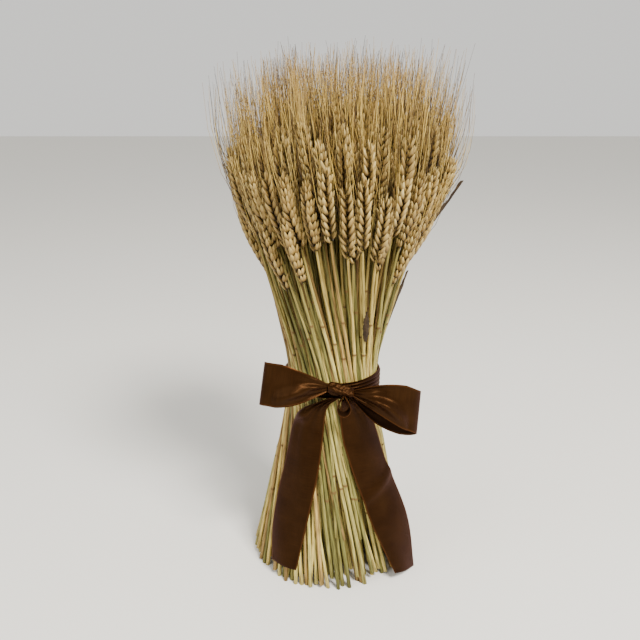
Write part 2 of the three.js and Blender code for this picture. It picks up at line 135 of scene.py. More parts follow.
HEAD_BASE_JITTER = 9
INNER_HEAD_SPREAD = 0.4
HEAD_HALF_WIDTH, FOOT_HALF_WIDTH = 5.6, 2.0
HEAD_SPIN = radians(38)
SHORTEST_CUT = 9
NUMBER_PACE, PURPOSE_PACE, CHANCE_WAVE = 12.9898, 78.233, 43758.5453


def chance(number, purpose):
    """A repeatable number from 0 to 1 for a stalk and a purpose: the broken part of a wave.

    Purposes 1 to 9 place a stalk, 31 to 34 shape its straw and 41 to 53 its ear and awns.
    """
    wave = sin(number * NUMBER_PACE + purpose * PURPOSE_PACE) * CHANCE_WAVE
    return wave - np.floor(wave)


def between(limits, number, purpose):
    """A repeatable value between two limits for a stalk and a purpose."""
    return limits[0] + (limits[1] - limits[0]) * chance(number, purpose)


def sheaf_radius(z):
    """Radius over the outermost straws: the waist's, plus a flare below it and one above it."""
    drop = clip((WAIST_LOW - z) / WAIST_LOW, 0, None)
    climb = clip(z - WAIST_HIGH, 0, None)
    return (WAIST_RADIUS + (FOOT_RADIUS - WAIST_RADIUS) * drop ** FOOT_FLARE_POWER
            + HEAD_FLARE * climb ** HEAD_FLARE_POWER)


def settle(points):
    """Turns points about the outwards axis by a twist that grows with height, then leans them.

    Among the ears the lean grows by the square of the height, up to a few millimetres more.
    """
    rise = (points[..., 2] - TWIST_CENTRE) / TWIST_SPAN
    turn = -TWIST * rise / np.hypot(1, rise)
    more = EAR_LEAN * clip((points[..., 2] - EAR_LEAN_FROM) / EAR_LEAN_SPAN, 0, 1) ** 2
    x = points[..., 0] * cos(turn) - points[..., 1] * sin(turn) + LEAN * points[..., 2] + more
    y = points[..., 0] * sin(turn) + points[..., 1] * cos(turn)
    return stack([x, y, points[..., 2]], axis=-1) - BOX_CENTRE


def polar(radius, angle, z):
    """Points at a radius and an angle round the outwards axis, at height z."""
    radius, angle, z = np.broadcast_arrays(radius, angle, z)
    return stack([radius * cos(angle), radius * sin(angle), z], axis=-1).astype(float)


def unit(vectors):
    """The vectors, each divided by its own length."""
    return vectors / np.linalg.norm(vectors, axis=-1, keepdims=True)


def frame_stalks(bunch):
    """The five stalks of one bunch of the frame: side by side at the waist, parted at the ends."""
    slot = arange(BUNCH_STALKS)
    number = bunch * BUNCH_STALKS + slot
    offset = slot - (BUNCH_STALKS - 1) / 2
    middle = (bunch + 0.5) * WEDGE
    step = (WEDGE - (2 * STRAW_WAIST + NODE_GAP) / STRAW_RING) / (BUNCH_STALKS - 1)
    head_base = HEAD_BASES + HEAD_BASE_JITTER * (2 * chance(number, 1) - 1)
    head_radius = STRAW_RING + HEAD_SHARES * (sheaf_radius(head_base) - WAIST_RADIUS)
    head_free = WEDGE / 2 - (HEAD_HALF_WIDTH + NODE_GAP) / head_radius
    spread = np.where(HEAD_SHARES < 1, INNER_HEAD_SPREAD, 1)
    foot_radius = STRAW_RING + FOOT_SHARES * (FOOT_RADIUS - WAIST_RADIUS)
    foot_free = WEDGE / 2 - (FOOT_HALF_WIDTH + NODE_GAP) / foot_radius
    short = maximum(0, SHORTEST_CUT * (2 * chance(number, 4) - 1))
    return {
        "number": number,
        "waist_radius": np.full(BUNCH_STALKS, STRAW_RING),
        "waist_angle": middle + offset * step,
        "head_share": HEAD_SHARES,
        "head_base": head_base,
        "head_angle": middle + offset / 2 * spread * head_free,
        "spin": HEAD_SPIN * (2 * chance(number, 3) - 1),
        "foot_share": FOOT_SHARES,
        "foot_angle": middle + offset / 2 * foot_free,
        "foot_z": np.where(slot % 2 == 1, 0, short),
    }


# In a bunch, six more stalks lie behind the frame's at the waist and fill the gaps at the ends
FIRST_FILL_NUMBER = 200
FILL_WAIST = array([34.9, 31.6, 34.9, 34.9, 31.6, 34.9])
FILL_WAIST_PLACE = array([-0.75, -0.5, -0.25, 0.25, 0.5, 0.75])
FILL_HEAD = array([0.82, 0.60, 0.88, 0.28, 0.45, 0.92])
FILL_HEAD_PLACE = array([-0.55, 0.55, 0.0, 0.3, -0.35, 0.62])
FILL_FOOT = array([1.04, 0.72, 0.98, 0.45, 0.84, 1.0])
FILL_FOOT_PLACE = array([0.45, 0.75, -0.45, 0.2, -0.2, -0.95])
FILL_BASE = array([338, 344, 300, 322, 328, 336])
FILL_DROP = array([0, 0, 28, 0, 0, 20])
FILL_PART = array([0, 0, 0.2, 0, 0, 0.1])
FILL_BASE_JITTER, FILL_SPIN = 13, radians(48)
FILL_SHARE_JITTER, FILL_PLACE_JITTER = (-0.04, 0.04), (-0.125, 0.125)
FILL_FOOT_RISE = (-14, 12)
CUT_SHORT_ABOVE, CUT_SHORT_BY, CUT_SHORT_SPREAD = 0.7, 40, 0.06
DROP_SIDE, DROP_ABOVE = radians(5), 0.6


def fill_stalks(bunch):
    """Six stalks between those of the frame, with more freedom in height, turn and cut.

    The outer ears hang out and lower on the sheaf's right side, by the square of a cosine, and
    so do a few of them elsewhere. Some straws are cut short and stand out a little more.
    """
    count = len(FILL_WAIST)
    number = FIRST_FILL_NUMBER + bunch * count + arange(count)
    middle = (bunch + 0.5) * WEDGE
    head_place = FILL_HEAD_PLACE + between(FILL_PLACE_JITTER, number, 5)
    cut_short = chance(number, 8) > CUT_SHORT_ABOVE
    loose = maximum(max(0, cos(middle - DROP_SIDE)) ** 2, chance(number, 9) > DROP_ABOVE)
    return {
        "number": number,
        "waist_radius": FILL_WAIST,
        "waist_angle": middle + FILL_WAIST_PLACE * WEDGE / 2,
        "head_share": FILL_HEAD + FILL_PART * loose + between(FILL_SHARE_JITTER, number, 6),
        "head_base": FILL_BASE - FILL_DROP * loose + FILL_BASE_JITTER * (2 * chance(number, 1) - 1),
        "head_angle": middle + head_place * WEDGE / 2,
        "spin": FILL_SPIN * (2 * chance(number, 3) - 1),
        "foot_share": FILL_FOOT + CUT_SHORT_SPREAD * cut_short,
        "foot_angle": middle + FILL_FOOT_PLACE * WEDGE / 2,
        "foot_z": maximum(0, between(FILL_FOOT_RISE, number, 4)) + CUT_SHORT_BY * cut_short,
    }


WAVE_PITCH, WAVE_IN, WAVE_ASIDE = 38, 0.5, 0.8
WAVE_LEAST_RADIUS, WAVE_STARTS = 8, 6.28


def stalk_centres(stalks, z):
    """Centres of stalks in the straight sheaf at heights z, one row of heights for each stalk.

    The radius is the stalk's own at the waist plus its share of the sheaf's flare; its angle goes
    in proportion from the waist's to the foot's or the ear's. A slow wave that is still at the
    ends and at the waist bends each straw inwards by up to a millimetre and sideways by less.
    """
    s = {name: values[:, None] for name, values in stalks.items()}
    below = clip((WAIST_LOW - z) / WAIST_LOW, 0, 1)
    above = clip((z - WAIST_HIGH) / (s["head_base"] - WAIST_HIGH), 0, 1)
    share = np.where(z < WAIST_LOW, s["foot_share"], s["head_share"])
    radius = s["waist_radius"] + share * (sheaf_radius(z) - WAIST_RADIUS)
    angle = (s["waist_angle"] + below * (s["foot_angle"] - s["waist_angle"])
             + above * (s["head_angle"] - s["waist_angle"]))
    loose = sin(pi * below) + sin(pi * above)
    phase = z / WAVE_PITCH + WAVE_STARTS * chance(s["number"], 7)
    radius = radius + loose * WAVE_IN * (sin(phase) - 1)
    aside = WAVE_ASIDE * sin(0.7 * phase + 2)
    return polar(radius, angle + loose * aside / maximum(radius, WAVE_LEAST_RADIUS), z)


FIBRE_SHIFT, FIBRE_NUMBERS = 7.3, 97


def pods(centres, rims, number, along, tone, joint=0, hollow=0):
    """Closed shapes of rings round a centre line, with a point at each end, and their marks.

    centres is (shapes, rings, 3), rims is (shapes, rings, sides, 3) from the centre, and the
    other tables hold one value for each ring. The fibre mark runs round and along each shape.
    """
    shapes, rings, sides = rims.shape[:3]
    ring_points = (centres[:, :, None] + rims).reshape(shapes, rings * sides, 3)
    points = concatenate([centres[:, :1], ring_points, centres[:, -1:]], axis=1)

    def spread(values):
        """One value for each ring, given to every point of the shape."""
        values = np.broadcast_to(values, (shapes, rings))
        return concatenate([values[:, :1], np.repeat(values, sides, axis=1), values[:, -1:]], axis=1)

    turn = np.tile(2 * pi * arange(sides) / sides, rings)[None]
    turn = concatenate([np.zeros((1, 1)), turn, np.zeros((1, 1))], axis=1)
    length = spread(along)
    shift = FIBRE_SHIFT * spread(number)
    fibre = stack([cos(turn) + shift, sin(turn) + 0 * shift, length], axis=-1)
    first = arange(shapes)[:, None] * (rings * sides + 2)
    here = arange(sides)
    after = (here + 1) % sides
    level = (1 + arange(rings - 1) * sides)[None, :, None] + first[:, :, None]
    quads = stack([level + here, level + after, level + sides + after, level + sides + here], axis=-1)
    top = 1 + (rings - 1) * sides
    caps = concatenate([
        stack([first + 0 * here, first + 1 + after, first + 1 + here], axis=-1),
        stack([first + top + here, first + top + after, first + 0 * here + top + sides], axis=-1),
    ], axis=1)
    return {
        "points": points.reshape(-1, 3),
        "quads": quads.reshape(-1, 4),
        "caps": caps.reshape(-1, 3),
        "marks": {
            "fibre": fibre.reshape(-1, 3),
            "along": length.ravel(),
            "tone": spread(tone).ravel(),
            "joint": spread(joint).ravel(),
            "hollow": spread(hollow).ravel(),
        },
    }


STRAW_SIDES = 6
STRAW_LEVELS = 15
STRAW_INTO_EAR = 1.5
STRAW_THICKNESSES = (0.9, 1.1)
STRAW_FIBRE_PACE = 0.02
HOLLOW_SHARE = 0.58
HOLLOW_DEPTH = 3.0
JOINT_PLACES = [(0.16, 0.38), (0.64, 0.80)]
JOINT_RINGS = array([-3.0, -1.3, 0, 1.3, 3.0])
JOINT_SWELL = 0.25
JOINT_LENGTH = 1.5


def straws(stalks):
    """Hollow straws: six-sided rings round each centre line, with two thickened joints each.

    The radius falls from foot to waist and on to the neck, and swells by a quarter in a bell
    curve at a joint. The skin starts a little way up inside the cut end, so the end is open.
    """
    number = stalks["number"][:, None]
    low = stalks["foot_z"][:, None]
    high = stalks["head_base"][:, None] + STRAW_INTO_EAR
    joint_shares = [between(places, number, 31 + k) for k, places in enumerate(JOINT_PLACES)]
    joints = low + (high - low) * concatenate(joint_shares, axis=1)
    near = (joints[:, :, None] + JOINT_RINGS).reshape(len(number), -1)
    even = low + (high - low) * linspace(0, 1, STRAW_LEVELS)[None]
    z = np.sort(concatenate([even, near], axis=1), axis=1)
    swell = exp(-((z[:, :, None] - joints[:, None]) / JOINT_LENGTH) ** 2).sum(axis=2)
    foot = clip((WAIST_LOW - z) / WAIST_LOW, 0, 1)
    neck = clip((z - WAIST_HIGH) / (high - WAIST_HIGH), 0, 1)
    radius = (between(STRAW_THICKNESSES, number, 33) * (1 + JOINT_SWELL * swell)
              * (STRAW_WAIST + (STRAW_FOOT - STRAW_WAIST) * foot + (STRAW_NECK - STRAW_WAIST) * neck))
    z = concatenate([low + HOLLOW_DEPTH, low, z], axis=1)
    radius = concatenate([HOLLOW_SHARE * radius[:, :1], HOLLOW_SHARE * radius[:, :1], radius], axis=1)
    # The two rings inside the open end carry the mark for its painted shade
    inner = np.zeros_like(z)
    inner[:, :2] = 1
    swell = concatenate([0 * inner[:, :2], swell], axis=1)
    turn = 2 * pi * arange(STRAW_SIDES) / STRAW_SIDES
    part = pods(stalk_centres(stalks, z), polar(radius[:, :, None], turn, 0),
                number, z * STRAW_FIBRE_PACE, chance(number, 34), swell, inner)
    part["points"] = settle(part["points"])
    return part


EAR_LENGTH = 64.0
EAR_LENGTHS, EAR_BENDS = (59.52, 67.2), (-2.5, 2.5)
EAR_SWELL, EAR_BLUNTNESS = (0.13, 0.93), 0.7
EAR_BULGE, OUTER_EAR_FROM = 3.8, 0.7
EARS_LEFT = radians(213)
EAR_PARTING, EAR_PARTING_FROM, EAR_PARTING_REACH = 22, 0.85, (-0.1, 0.25)
SPIKELETS = 19
SPIKELET_HANDS = np.append(np.tile([-1.0, 1.0], SPIKELETS // 2), 0)
FIRST_SPIKELET, SPIKELET_REACH, EAR_SINK = 0.3, 0.9, 1.5
# A spikelet's three husks: in its middle, on its inner side and on its outer side
HUSKS = array([0.0, 1.0, -1.0])
HUSK_SIDES, HUSK_SIDE_TURN = 5, 0.25
HUSK_LENGTH, HUSK_LEAST_SHARE = 11.5, 0.62
HUSK_HALF_WIDTH, HUSK_HALF_DEPTH = 2.5, 1.7
HUSK_RINGS = array([0.07, 0.3, 0.62, 0.87])
HUSK_WIDTHS = array([0.55, 1.0, 0.86, 0.4])
HUSK_PLUMPNESS = (0.92, 1.08)
HUSK_LEAN_LOW, HUSK_LEAN_HIGH = radians(31), radians(17)
HUSK_SPACING, HUSK_FAN, HUSK_TURN, HUSK_BOW = 1.25, 0.2, 0.95, 0.7
HUSK_OFF_AXIS, HUSK_OFF_MORE = 0.2, 0.5
HUSK_WILDNESS, HUSK_DRAWS = (-0.12, 0.12), 61
SIDE_HUSK_LEAN, SIDE_HUSK_SIZE = 0.25, 0.1
AWN_SEAT = 0.97
STALK_TONE_SHARE = 0.65


def ear_axes(stalks):
    """Each ear's foot, its axis, the ways to its side, inwards and away, and how far it hangs out.

    The axis runs on from the straw. An outer ear bends outwards by the square of the height in
    it, more on the left, and bulges by half a sine wave.
    """
    base = stalks["head_base"][:, None]
    foot = stalk_centres(stalks, base)[:, 0]
    axis = unit(foot - stalk_centres(stalks, base - EAR_LENGTH / 3)[:, 0])
    side = polar(1, stalks["head_angle"] + stalks["spin"] + pi / 2, 0)
    side = unit(side - axis * (side * axis).sum(axis=1, keepdims=True))
    away = polar(1, stalks["head_angle"], 0)
    outer = clip((stalks["head_share"] - OUTER_EAR_FROM) / (1 - OUTER_EAR_FROM), 0, 1)
    left = clip(cos(stalks["head_angle"] - EARS_LEFT), 0, 1) ** 2
    parting = EAR_PARTING * clip(stalks["head_share"] - EAR_PARTING_FROM, *EAR_PARTING_REACH)
    return {
        "foot": foot,
        "axis": axis,
        "side": side,
        "inward": np.cross(axis, side),
        "away": away,
        "length": between(EAR_LENGTHS, stalks["number"], 41)[:, None],
        "bulge": EAR_BULGE * outer[:, None],
        "outwards": (parting + EAR_BULGE * outer * left)[:, None] * away,
    }


def ear_husks(stalks, ear):
    """Spikelets of three husks in two ranks on the ears, with the ways and the tips of the husks.

    A husk is a pointed pod whose width follows a table; it leans out from the ear's axis by less
    towards the top.
    """
    number = stalks["number"]
    grid = (len(number), SPIKELETS, 3)
    place = arange(SPIKELETS)
    share = (place + FIRST_SPIKELET) / SPIKELETS
    swell = sin(pi * (EAR_SWELL[0] + (EAR_SWELL[1] - EAR_SWELL[0]) * share)) ** EAR_BLUNTNESS
    climb = ear["length"] * (share * SPIKELET_REACH) - EAR_SINK
    bend = between(EAR_BENDS, number, 42)[:, None] * share ** 2
    bulge = ear["bulge"] * sin(pi * share)
    seat = (ear["foot"][:, None] + ear["axis"][:, None] * climb[..., None]
            + ear["inward"][:, None] * bend[..., None] + ear["outwards"][:, None] * (share ** 2)[:, None]
            + ear["away"][:, None] * bulge[..., None])
    axis, side, inward = (np.broadcast_to(ear[name][:, None, None], grid + (3,))
                          for name in ("axis", "side", "inward"))
    hand = SPIKELET_HANDS[:, None]
    wild = between(HUSK_WILDNESS, number[:, None, None] * HUSK_DRAWS + place[None, :, None] * 3 + HUSKS, 44)
    lean = HUSK_LEAN_LOW + (HUSK_LEAN_HIGH - HUSK_LEAN_LOW) * share
    lean = lean[None, :, None] * (1 - SIDE_HUSK_LEAN * np.abs(HUSKS)) + wild
    fan = HUSKS * HUSK_FAN + wild / 2
    way = unit(axis * cos(lean)[..., None] + side * (hand * sin(lean))[..., None]
               + inward * fan[..., None])
    turn = np.broadcast_to(HUSKS * hand * HUSK_TURN, grid)
    wide = unit(inward * cos(turn)[..., None] - side * sin(turn)[..., None])
    wide = unit(wide - way * (wide * way).sum(axis=-1, keepdims=True))
    deep = np.cross(way, wide)
    plump = between(HUSK_PLUMPNESS, number, 43)[:, None, None]
    size = swell[None, :, None] * plump * (1 - SIDE_HUSK_SIZE * np.abs(HUSKS))
    off_axis = hand * (HUSK_OFF_AXIS + HUSK_OFF_MORE * swell[:, None])
    root = seat[:, :, None] + side * off_axis[..., None] + inward * (HUSKS * HUSK_SPACING * size)[..., None]
    length = HUSK_LENGTH * (HUSK_LEAST_SHARE + (1 - HUSK_LEAST_SHARE) * size)

    bow = sin(pi * HUSK_RINGS) * HUSK_BOW
    outward = side * hand[..., None] + inward * (0.5 * HUSKS)[:, None]
    centres = (root[..., None, :] + way[..., None, :] * (length[..., None] * HUSK_RINGS)[..., None]
               + outward[..., None, :] * bow[:, None])
    turn = 2 * pi * (arange(HUSK_SIDES) + HUSK_SIDE_TURN) / HUSK_SIDES
    rims = (wide[..., None, None, :] * (HUSK_HALF_WIDTH * cos(turn))[:, None]
            + deep[..., None, None, :] * (HUSK_HALF_DEPTH * sin(turn))[:, None])
    rims = rims * (size[..., None] * HUSK_WIDTHS)[..., None, None]
    rims = rims.reshape(-1, len(HUSK_RINGS), HUSK_SIDES, 3)
    husk_number = arange(len(rims))[:, None] + number[0] * SPIKELETS * 3
    tone = (STALK_TONE_SHARE * np.repeat(chance(number, 45), SPIKELETS * 3)[:, None]
            + (1 - STALK_TONE_SHARE) * chance(husk_number, 46))
    husks = pods(centres.reshape(-1, len(HUSK_RINGS), 3), rims, husk_number % FIBRE_NUMBERS,
                 HUSK_RINGS[None], tone)
    # The two end points of a husk reach past its first and last ring
    skin = husks["points"].reshape(len(rims), -1, 3)
    skin[:, 0] = root.reshape(-1, 3)
    skin[:, -1] = (root + way * length[..., None]).reshape(-1, 3)
    husks["points"] = settle(skin.reshape(-1, 3))
    return husks, way, root + way * (length * AWN_SEAT)[..., None]


AWN_RADIUS, AWN_TAPER = 0.23, 0.55
AWN_RINGS = array([0.0, 0.34, 0.7, 1.0])
AWN_HANDLE = 0.42
AWN_RISE, AWN_TUFT_RISE, AWN_OWN_RISE = 14, 30, 26
AWN_CEILING_DROP = 26
AWN_SIDE_FAN, AWN_INWARD_FAN = (2, 15), (1, 9)
AWN_PARTING = 0.4


def ear_awns(stalks, ear, way, tip):
    """Awns: thin needles on curves of second degree, from the tips of three husks in every twelve.

    A needle leaves along its husk and ends above the ear, at a height that is partly the ear's
    and partly its own and stays under the sheaf's top; it fans out on its own side.
    """
    number = stalks["number"]
    place = arange(SPIKELETS)
    beard = np.zeros((SPIKELETS, 3), bool)
    beard[place, 1 + place // 2 % 2] = place % 4 < 3
    count = beard.sum()
    start = tip[:, beard].reshape(-1, 3)
    first_way = way[:, beard].reshape(-1, 3)
    hand = np.tile(np.broadcast_to(SPIKELET_HANDS[:, None], beard.shape)[beard], len(number))
    fan = np.tile(np.broadcast_to(HUSKS, beard.shape)[beard], len(number))
    axis, side, inward = (np.repeat(ear[name], count, axis=0) for name in ("axis", "side", "inward"))
    awn_number = arange(len(start)) + number[0] * count
    top = ear["foot"] + ear["axis"] * ear["length"] + AWN_PARTING * ear["outwards"]
    top = np.repeat(top, count, axis=0)
    upward = unit(0.5 * axis + 0.5 * array([0, 0, 1.0]))
    ceiling = OVERALL_HEIGHT - AWN_CEILING_DROP * chance(awn_number, 48)
    rise = (AWN_RISE + AWN_TUFT_RISE * np.repeat(chance(number, 53), count)
            + AWN_OWN_RISE * chance(awn_number, 47) ** 1.6)
    rise = minimum(rise, (ceiling - top[:, 2]) / upward[:, 2])
    sideways = hand * between(AWN_SIDE_FAN, awn_number, 49)
    inwards = (fan + chance(awn_number, 52) - 0.5) * between(AWN_INWARD_FAN, awn_number, 50)
    end = top + upward * rise[:, None] + side * sideways[:, None] + inward * inwards[:, None]
    reach = np.linalg.norm(end - start, axis=1, keepdims=True)
    handle = start + first_way * reach * AWN_HANDLE
    t = AWN_RINGS[None, :, None]
    centres = start[:, None] * (1 - t) ** 2 + handle[:, None] * 2 * t * (1 - t) + end[:, None] * t ** 2
    turn = 2 * pi * arange(3) / 3
    rim = side[:, None] * cos(turn)[:, None] + inward[:, None] * sin(turn)[:, None]
    rims = rim[:, None] * (AWN_RADIUS * (1 - AWN_TAPER * AWN_RINGS))[:, None, None]
    awns = pods(centres, rims, awn_number[:, None] % FIBRE_NUMBERS, AWN_RINGS[None],
                chance(awn_number, 51)[:, None])
    awns["points"] = settle(awns["points"])
    return awns


def stalk_parts(stalks):
    """The parts of stalks with the numbers of their finishes: straws, husks and awns."""
    ear = ear_axes(stalks)
    husks, way, tip = ear_husks(stalks, ear)
    return [(0, straws(stalks)), (1, husks), (2, ear_awns(stalks, ear, way, tip))]


MM = 0.001


def mesh_of(name, points, corners, sizes, finishes):
    """A smooth mesh of points in millimetres; corners lists the points of all faces in turn."""
    mesh = bpy.data.meshes.new(name)
    mesh.vertices.add(len(points))
    mesh.vertices.foreach_set("co", (points * MM).astype(np.float32).ravel())
    mesh.loops.add(len(corners))
    mesh.loops.foreach_set("vertex_index", corners.astype(np.int32))
    mesh.polygons.add(len(sizes))
    mesh.polygons.foreach_set("loop_start", (np.cumsum(sizes) - sizes).astype(np.int32))
    mesh.update(calc_edges=True)
    mesh.shade_smooth()
    for finish in finishes:
        mesh.materials.append(finish)
    return mesh


def put_mesh(name, parts, finishes):
    """Makes one mesh object of parts in millimetres; parts are (finish number, part) pairs."""
    start = 0
    corners, sizes, slots = [], [], []
    for slot, part in parts:
        for table in (part["quads"], part["caps"]):
            corners.append((table + start).ravel())
            sizes.append(np.full(len(table), table.shape[1]))
            slots.append(np.full(len(table), slot))
        start += len(part["points"])
    points = concatenate([part["points"] for _, part in parts])
    mesh = mesh_of(name, points, concatenate(corners), concatenate(sizes), finishes)
    mesh.polygons.foreach_set("material_index", concatenate(slots).astype(np.int32))
    for label in parts[0][1]["marks"]:
        values = concatenate([part["marks"][label] for _, part in parts])
        kind, field = ("FLOAT_VECTOR", "vector") if values.ndim == 2 else ("FLOAT", "value")
        layer = mesh.attributes.new(label, kind, "POINT")
        layer.data.foreach_set(field, values.astype(np.float32).ravel())
    return placed(name, mesh)


def shade(red, green, blue):
    """A colour given as screen values from 0 to 255, as linear light."""
    screen = array([red, green, blue]) / 255
    light = np.where(screen > 0.04045, ((screen + 0.055) / 1.055) ** 2.4, screen / 12.92)
    return (*light.tolist(), 1.0)


def add(tree, kind, inputs=(), **settings):
    """A new node with its settings; each input is a number, a colour or another node's output."""
    node = tree.nodes.new(kind)
    for name, value in settings.items():
        setattr(node, name, value)
    for socket, value in dict(inputs).items():
        if isinstance(value, bpy.types.NodeSocket):
            tree.links.new(value, node.inputs[socket])
        else:
            node.inputs[socket].default_value = value
    return node


def ramp(tree, factor, stops):
    """A colour ramp over factor with (place, screen colour) stops in rising order."""
    node = add(tree, "ShaderNodeValToRGB", {"Fac": factor})
    marks = node.color_ramp.elements
    marks.remove(marks[1])
    marks[0].position, marks[0].color = stops[0][0], shade(*stops[0][1])
    for place, colour in stops[1:]:
        marks.new(place).color = shade(*colour)
    return node.outputs["Color"]


def mark(tree, name, output="Fac"):
    """A value that the mesh holds under that name."""
    return add(tree, "ShaderNodeAttribute", attribute_name=name).outputs[output]


def mixed(tree, factor, first, second, blend="MIX"):
    """Two colours mixed by a factor."""
    return add(tree, "ShaderNodeMix", {0: factor, 6: first, 7: second},
               data_type="RGBA", blend_type=blend).outputs[2]


def grown(tree, value, low, high):
    """From 0 where the value is low or less to 1 where it is high or more."""
    return add(tree, "ShaderNodeMapRange", {0: value, 1: low, 2: high, 3: 0.0, 4: 1.0}).outputs[0]


def noise(tree, place, fineness, detail):
    """A cloudy pattern, the finer the larger its fineness."""
    return add(tree, "ShaderNodeTexNoise",
               {"Vector": place, "Scale": fineness, "Detail": detail}).outputs["Fac"]


def object_place(tree):
    """The place on the piece, in metres."""
    return add(tree, "ShaderNodeTexCoord").outputs["Object"]


def fibres(tree, fineness):
    """Streaks along a dry plant part, on its own fibre direction, and the height of its fine ribs."""
    place = mark(tree, "fibre", "Vector")
    return noise(tree, place, fineness, 3.0), noise(tree, place, 3 * fineness, 2.0)


def finish_of(name, roughness, specular=0.3):
    """A new material with its node tree and its Principled shader."""
    finish = bpy.data.materials.new(name)
    finish.use_nodes = True
    shader = finish.node_tree.nodes["Principled BSDF"]
    shader.inputs["Roughness"].default_value = roughness
    shader.inputs["Specular IOR Level"].default_value = specular
    return finish, finish.node_tree, shader


def dress(tree, shader, colour, height=None, strength=1.0, distance=0.0):
    """Gives a finish its colour and, with a height, a relief as deep as a distance in metres."""
    tree.links.new(colour, shader.inputs["Base Color"])
    if height is not None:
        bump = add(tree, "ShaderNodeBump", {"Height": height, "Strength": strength, "Distance": distance})
        tree.links.new(bump.outputs["Normal"], shader.inputs["Normal"])


# Heights in metres between which the straws turn duller, and the joint mark at a joint's rim
DULL_HEIGHTS = (0.19, 0.30)
JOINT_RIM = (0.3, 0.9)


def straw_finish():
    """Dry straw: each stalk from olive through pale gold to pink tan, duller above the waist.

    Streaks weather it and its joints are brown; the inside of its open cut end is painted shade, a dark
    brown.
    """
    finish, tree, shader = finish_of("dry_straw", 0.55, 0.2)
    streak, height = fibres(tree, 3.4)
    colour = ramp(tree, mark(tree, "tone"), [
        (0.0, (108, 106, 54)), (0.22, (158, 151, 86)), (0.5, (208, 194, 116)),
        (0.78, (216, 193, 112)), (0.91, (176, 147, 88)), (1.0, (132, 106, 62))])
    weather = ramp(tree, streak, [(0.38, (112, 92, 60)), (0.56, (255, 253, 246))])
    colour = mixed(tree, 0.85, colour, weather, "MULTIPLY")
    place = add(tree, "ShaderNodeSeparateXYZ", {0: object_place(tree)})
    upper = grown(tree, place.outputs["Z"], *DULL_HEIGHTS)
    colour = mixed(tree, upper, colour, mixed(tree, 1.0, colour, shade(186, 178, 164), "MULTIPLY"))
    colour = mixed(tree, grown(tree, mark(tree, "joint"), *JOINT_RIM), colour, shade(94, 66, 34))
    # Painted shade: the inside of the open cut end is darkened to brown
    colour = mixed(tree, mark(tree, "hollow"), colour, shade(92, 72, 40))
    dress(tree, shader, colour, height, 0.3, 0.0003)
    return finish


def husk_finish():
    """Ripe husks: golden, darkened towards the root by painted shade where the husks overlap and lighter
    towards the tip, finely ribbed.
    """
    finish, tree, shader = finish_of("ripe_husk", 0.5)
    streak, height = fibres(tree, 1.8)
    colour = ramp(tree, mark(tree, "tone"), [
        (0.0, (136, 116, 66)), (0.5, (174, 154, 98)), (1.0, (206, 190, 134))])
    # Painted shade: each husk darkens towards its root, where the husks overlap
    root_shade = ramp(tree, mark(tree, "along"), [
        (0.08, (52, 34, 24)), (0.45, (210, 196, 170)), (0.85, (255, 253, 246))])
    colour = mixed(tree, 1.0, colour, root_shade, "MULTIPLY")
    weather = ramp(tree, streak, [(0.34, (214, 192, 156)), (0.6, (255, 253, 248))])
    colour = mixed(tree, 0.8, colour, weather, "MULTIPLY")
    dress(tree, shader, colour, height, 0.35, 0.0004)
    return finish


def awn_finish():
    """Awns: stiff bristles, dark at the root, partly their own colour and partly painted shade among the
    ears, straw gold further up and browner at the tip.
    """
    finish, tree, shader = finish_of("bristly_awn", 0.45)
    # The dark roots are partly the awns' own colour and partly painted shade among the ears
    colour = ramp(tree, mark(tree, "along"), [
        (0.0, (60, 44, 34)), (0.28, (150, 126, 78)), (0.5, (228, 202, 124)),
        (1.0, (140, 112, 64))])
    tone = ramp(tree, mark(tree, "tone"), [
        (0.0, (50, 38, 28)), (0.42, (122, 104, 74)), (0.68, (242, 229, 188)),
        (1.0, (255, 252, 240))])
    colour = mixed(tree, 1.0, colour, tone, "MULTIPLY")
    dress(tree, shader, colour)
    return finish


wheat_finishes = [straw_finish(), husk_finish(), awn_finish()]

for bunch in range(BUNCHES):
    node = f"wheat_bunch_{bunch + 1:02d}"
    parts = stalk_parts(frame_stalks(bunch)) + stalk_parts(fill_stalks(bunch))
    piece = put_mesh(f"fine_{node}", parts, wheat_finishes)
    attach(piece, "root")
    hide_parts(node)

# Heart of the sheaf: stalks with ears in its middle, and straws without ears that run through
# the waist down to the table; both fill the sheaf so that it's closed all round.

# A ring of stalks: count, waist radius, ear share, ear height and foot share
HEART_RINGS = [(1, 0, 0, 356, 0.0), (5, 9, 0.14, 352, 0.12), (9, 17, 0.34, 346, 0.25),
               (14, 25, 0.52, 320, 0.3)]
# A ring of straws: count, waist radius and foot radius
FILLER_RINGS = [(1, 0, 0), (6, 9, 10), (9, 16, 20), (14, 22, 30), (18, 26, 38), (22, 28, 46),
                (26, 30, 54), (20, 24, 34), (25, 30, 64)]
FIRST_FILLER_NUMBER = 400
FILLER_RING_TURN = 0.37
FILLER_HEAD_PART = 0.85
FILLER_TOPS, FILLER_FOOT_RISE = (334, 364), (-12, 8)


def ring_stalks(rings, ring_turn, first_number):
    """Stalks in rings round the axis, each ring turned on by a part of a stalk's step."""
    rows = [(*values, 2 * pi * (place + ring_turn * ring) / count)
            for ring, (count, *values) in enumerate(rings)
            for place in range(count)]
    waist_radius, head_share, head_base, foot_share, angle = array(rows).T
    return {
        "number": first_number + arange(len(rows)),
        "waist_radius": waist_radius,
        "waist_angle": angle,
        "head_share": head_share,
        "head_base": head_base,
        "head_angle": angle,
        "foot_share": foot_share,
        "foot_angle": angle,
        "foot_z": 0 * angle,
    }


